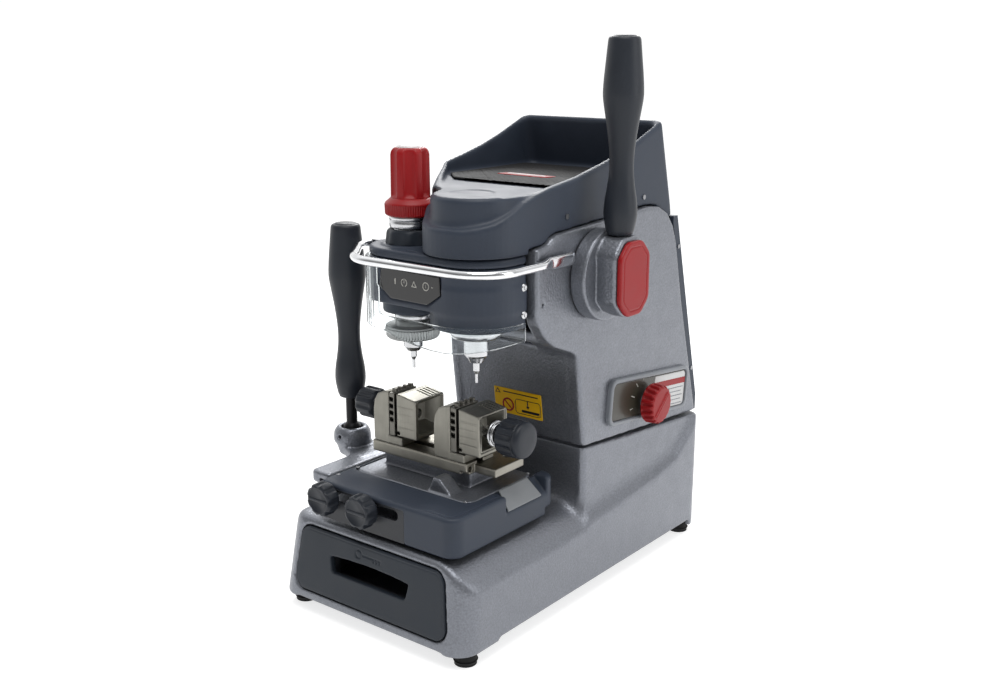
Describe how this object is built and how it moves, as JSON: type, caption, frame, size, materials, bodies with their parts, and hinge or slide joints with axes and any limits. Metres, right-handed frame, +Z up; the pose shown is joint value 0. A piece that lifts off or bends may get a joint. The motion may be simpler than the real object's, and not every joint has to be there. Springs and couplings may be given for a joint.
{
  "type": "key duplicating machine",
  "caption": "Manual bench key milling machine with two vises on a cross table, joystick, lever-fed head with tracer and cutter, bumper bar, tray and tool drawer",
  "frame": {"origin": "centre of the bounding box at floor level", "axes": "+X to the operator's right, +Y to the back, +Z up"},
  "size_m": [0.2815, 0.413, 0.5265],
  "materials": {
    "cast_grey": "fine hammer texture",
    "rubber_black": "matt",
    "blue_grey_plastic": "fine satin",
    "dark_steel": "satin",
    "polished_steel": "polished",
    "screw_steel": "satin",
    "black_plastic": "gloss",
    "red_plastic": "satin",
    "ground_steel": "ground",
    "pulley_aluminium": "turned",
    "satin_nickel": "satin nickel",
    "black_grip": "satin",
    "black_oxide_steel": "black oxide",
    "clear_acrylic": "clear"
  },
  "bodies": {
    "frame": {"base_casting": "cast_grey", "rubber_feet": "rubber_black", "column_casting": "cast_grey", "rear_cover": "blue_grey_plastic", "arm_casting": "cast_grey", "upper_cover": "blue_grey_plastic", "storage_mat": "rubber_black", "bumper_bar": "polished_steel", "cover_screws": "screw_steel", "control_panel": "black_plastic", "linear_rails": "ground_steel", "pivot_bracket": "dark_steel", "motor": "dark_steel", "drive_belt": "rubber_black", "power_inlet": "black_plastic", "return_spring": "ground_steel"},
    "drawer": {"drawer_tray": "dark_steel", "drawer_front": "blue_grey_plastic"},
    "saddle_body": {"y_bearing_blocks": "ground_steel", "saddle": "cast_grey", "x_rails": "ground_steel"},
    "carriage": {"x_bearing_blocks": "ground_steel", "x_carriage": "cast_grey", "table_cover": "blue_grey_plastic", "table_front_plate": "dark_steel", "vise_bed": "satin_nickel", "left_vise_body": "satin_nickel", "right_vise_body": "satin_nickel", "jaw_inserts": "satin_nickel"},
    "left_jaw": {"left_moving_jaw": "satin_nickel"},
    "right_jaw": {"right_moving_jaw": "satin_nickel"},
    "left_clamp": {"left_clamp_screw": "ground_steel", "left_clamp_knob": "black_grip"},
    "right_clamp": {"right_clamp_screw": "ground_steel", "right_clamp_knob": "black_grip"},
    "x_lock": {"x_lock_knob": "black_grip"},
    "y_lock": {"y_lock_knob": "black_grip"},
    "gimbal": {"joystick_cross": "ground_steel"},
    "joystick": {"joystick_rod": "black_oxide_steel", "joystick_grip": "black_grip"},
    "z_lever": {"z_hub": "cast_grey", "z_hub_cap": "red_plastic", "z_lever_grip": "black_grip", "pinion_shaft": "ground_steel"},
    "head": {"head_housing": "blue_grey_plastic", "head_deck": "blue_grey_plastic", "icon_panel": "black_plastic", "clear_guard": "clear_acrylic", "head_slide": "ground_steel", "tracer_collar": "blue_grey_plastic", "spindle_nose": "ground_steel"},
    "tracer_knob": {"tracer_top_knob": "red_plastic"},
    "tracer_dial": {"tracer_ring": "ground_steel"},
    "tracer": {"tracer_quill": "ground_steel"},
    "spindle": {"spindle_shaft": "ground_steel", "cutter": "ground_steel"},
    "spindle_drive": {"spindle_pulley": "pulley_aluminium"},
    "rotor": {"motor_pulley": "pulley_aluminium"},
    "selector": {"selector_knob": "red_plastic"},
    "switch": {"rocker_switch": "red_plastic"}
  },
  "joints": [
    {"name": "drawer_slide", "type": "slide", "parent": "frame", "child": "drawer", "axis": [0, -1, 0], "range_m": [0, 0.15]},
    {"name": "saddle_slide", "type": "slide", "parent": "frame", "child": "saddle_body", "axis": [0, 1, 0], "range_m": [-0.012, 0.012]},
    {"name": "carriage_slide", "type": "slide", "parent": "saddle_body", "child": "carriage", "axis": [1, 0, 0], "range_m": [-0.02, 0]},
    {"name": "gimbal_tilt", "type": "hinge", "parent": "frame", "child": "gimbal", "pos_m": [-0.12225, -0.0975, 0.097], "axis": [1, 0, 0], "range_deg": [-14.5, 14.5]},
    {"name": "stick_tilt", "type": "hinge", "parent": "gimbal", "child": "joystick", "pos_m": [-0.12225, -0.0975, 0.097], "axis": [0, 1, 0], "range_deg": [-23.5, 0]},
    {"name": "left_jaw_slide", "type": "slide", "parent": "carriage", "child": "left_jaw", "axis": [1, 0, 0], "range_m": [-0.002, 0.003]},
    {"name": "right_jaw_slide", "type": "slide", "parent": "carriage", "child": "right_jaw", "axis": [1, 0, 0], "range_m": [-0.002, 0.003]},
    {"name": "left_clamp_turn", "type": "hinge", "parent": "carriage", "child": "left_clamp", "pos_m": [-0.07625, -0.1055, 0.184], "axis": [1, 0, 0], "range_deg": [-540, 360]},
    {"name": "right_clamp_turn", "type": "hinge", "parent": "right_jaw", "child": "right_clamp", "pos_m": [0.07875, -0.1055, 0.184], "axis": [1, 0, 0], "range_deg": [-360, 540]},
    {"name": "x_lock_turn", "type": "hinge", "parent": "saddle_body", "child": "x_lock", "pos_m": [-0.01125, -0.1875, 0.12], "axis": [0, 1, 0], "range_deg": [-180, 0]},
    {"name": "y_lock_turn", "type": "hinge", "parent": "saddle_body", "child": "y_lock", "pos_m": [-0.05925, -0.1875, 0.12], "axis": [0, 1, 0], "range_deg": [-180, 0]},
    {"name": "head_slide_z", "type": "slide", "parent": "frame", "child": "head", "axis": [0, 0, 1], "range_m": [-0.016, 0], "stiffness_N_per_m": 1400, "springref_m": 0.03},
    {"name": "z_lever_turn", "type": "hinge", "parent": "frame", "child": "z_lever", "pos_m": [0.11175, 0.0025, 0.316], "axis": [1, 0, 0], "range_deg": [0, 40]},
    {"name": "tracer_knob_turn", "type": "hinge", "parent": "head", "child": "tracer_knob", "pos_m": [-0.02825, -0.1075, 0.4], "axis": [0, 0, 1], "range_deg": [0, 90]},
    {"name": "tracer_dial_turn", "type": "hinge", "parent": "head", "child": "tracer_dial", "pos_m": [-0.02825, -0.1075, 0.265], "axis": [0, 0, 1], "range_deg": [-180, 180]},
    {"name": "tracer_slide", "type": "slide", "parent": "head", "child": "tracer", "axis": [0, 0, 1], "range_m": [-0.001, 0.001]},
    {"name": "spindle_turn", "type": "hinge", "parent": "head", "child": "spindle", "pos_m": [0.04675, -0.1075, 0.26], "axis": [0, 0, 1], "continuous": true},
    {"name": "spindle_drive_turn", "type": "hinge", "parent": "frame", "child": "spindle_drive", "pos_m": [0.04675, -0.1075, 0.36], "axis": [0, 0, 1], "continuous": true},
    {"name": "rotor_turn", "type": "hinge", "parent": "frame", "child": "rotor", "pos_m": [-0.00325, 0.0475, 0.36], "axis": [0, 0, 1], "continuous": true},
    {"name": "selector_turn", "type": "hinge", "parent": "frame", "child": "selector", "pos_m": [0.10175, 0.0925, 0.172], "axis": [1, 0, 0], "range_deg": [-60, 60]},
    {"name": "switch_rock", "type": "hinge", "parent": "frame", "child": "switch", "pos_m": [0.01575, 0.19234, 0.19], "axis": [1, 0, 0], "range_deg": [0, 12]}
  ],
  "couplings": [
    {"joint": "gimbal_tilt", "follows": "saddle_slide", "rad_per_m": -20.8},
    {"joint": "stick_tilt", "follows": "carriage_slide", "rad_per_m": 20.3},
    {"joint": "left_clamp_turn", "follows": "left_jaw_slide", "rad_per_m": -3141.6},
    {"joint": "right_clamp_turn", "follows": "right_jaw_slide", "rad_per_m": 3141.6},
    {"joint": "z_lever_turn", "follows": "head_slide_z", "rad_per_m": -43.478},
    {"joint": "tracer_slide", "follows": "tracer_dial_turn", "m_per_rad": 0.00031831},
    {"joint": "spindle_drive_turn", "follows": "rotor_turn", "ratio": 1.3333},
    {"joint": "spindle_turn", "follows": "rotor_turn", "ratio": 1.3333}
  ]
}
